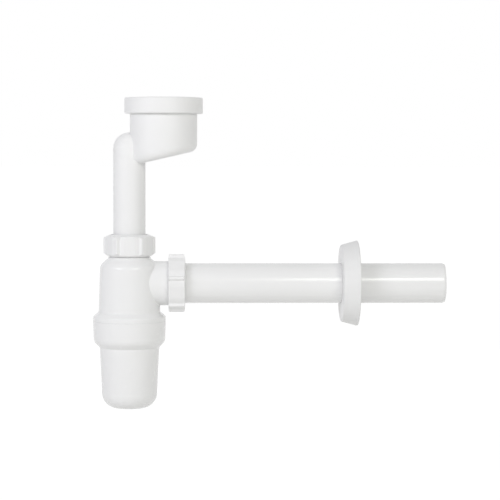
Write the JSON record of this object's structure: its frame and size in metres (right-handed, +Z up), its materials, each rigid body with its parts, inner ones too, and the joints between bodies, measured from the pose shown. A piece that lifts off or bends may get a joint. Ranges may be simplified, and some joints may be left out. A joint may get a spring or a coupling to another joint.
{
  "type": "urinal trap",
  "caption": "White plastic bottle trap for a urinal: offset inlet cup over a dip tube, screw-off cup, compression nuts, horizontal outlet pipe and wall rosette.",
  "frame": {"origin": "centre of the inlet mouth, where the urinal's spigot enters", "axes": "+Z up out of the inlet mouth, +X along the outlet pipe towards the wall"},
  "size_m": [0.3518, 0.0854, 0.3094],
  "materials": {
    "white_plastic": "moulded satin gloss",
    "washer_plastic": "plain moulded",
    "seal_rubber": "matt black rubber"
  },
  "bodies": {
    "trap_body": {"trap_body": "white_plastic"},
    "cup_gasket": {"cup_gasket": "seal_rubber"},
    "trap_cup": {"trap_cup": "white_plastic"},
    "inlet_slip_washer": {"inlet_slip_washer": "washer_plastic"},
    "inlet_nut": {"inlet_nut": "white_plastic"},
    "inlet_cone_seal": {"inlet_cone_seal": "seal_rubber"},
    "inlet": {"inlet_offset_cup": "white_plastic", "inlet_lip_seal": "seal_rubber", "inlet_collar": "white_plastic"},
    "outlet_slip_washer": {"outlet_slip_washer": "washer_plastic"},
    "outlet_nut": {"outlet_nut": "white_plastic"},
    "outlet_cone_seal": {"outlet_cone_seal": "seal_rubber"},
    "outlet_pipe": {"outlet_pipe": "white_plastic"},
    "wall_rosette": {"wall_rosette": "white_plastic"}
  },
  "joints": [
    {"name": "cup_drop", "type": "slide", "parent": "trap_body", "child": "cup_gasket", "axis": [0, 0, -1], "range_m": [0, 0.012]},
    {"name": "cup_turn", "type": "hinge", "parent": "cup_gasket", "child": "trap_cup", "pos_m": [-0.034, 0, -0.2222], "axis": [0, 0, -1], "range_deg": [0, 1080]},
    {"name": "inlet_nut_lift", "type": "slide", "parent": "trap_body", "child": "inlet_slip_washer", "axis": [0, 0, 1], "range_m": [0, 0.0116]},
    {"name": "inlet_nut_turn", "type": "hinge", "parent": "inlet_slip_washer", "child": "inlet_nut", "pos_m": [-0.034, 0, -0.1457], "axis": [0, 0, 1], "range_deg": [0, 1800]},
    {"name": "inlet_swivel", "type": "hinge", "parent": "trap_body", "child": "inlet_cone_seal", "pos_m": [-0.034, 0, -0.1437], "axis": [0, 0, 1], "continuous": true},
    {"name": "inlet_height", "type": "slide", "parent": "inlet_cone_seal", "child": "inlet", "axis": [0, 0, 1], "range_m": [-0.03, 0.01]},
    {"name": "outlet_nut_shift", "type": "slide", "parent": "trap_body", "child": "outlet_slip_washer", "axis": [1, 0, 0], "range_m": [0, 0.007]},
    {"name": "outlet_nut_turn", "type": "hinge", "parent": "outlet_slip_washer", "child": "outlet_nut", "pos_m": [0.0135, 0, -0.1847], "axis": [1, 0, 0], "range_deg": [0, 1080]},
    {"name": "outlet_swivel", "type": "hinge", "parent": "trap_body", "child": "outlet_cone_seal", "pos_m": [0.014, 0, -0.1847], "axis": [1, 0, 0], "continuous": true},
    {"name": "outlet_reach", "type": "slide", "parent": "outlet_cone_seal", "child": "outlet_pipe", "axis": [1, 0, 0], "range_m": [-0.0025, 0.007]},
    {"name": "rosette_slide", "type": "slide", "parent": "outlet_pipe", "child": "wall_rosette", "axis": [1, 0, 0], "range_m": [-0.14, 0.08]}
  ],
  "couplings": [
    {"joint": "cup_drop", "follows": "cup_turn", "m_per_rad": 0.0006366},
    {"joint": "inlet_nut_lift", "follows": "inlet_nut_turn", "m_per_rad": 0.00036749},
    {"joint": "outlet_nut_shift", "follows": "outlet_nut_turn", "m_per_rad": 0.00036749}
  ]
}
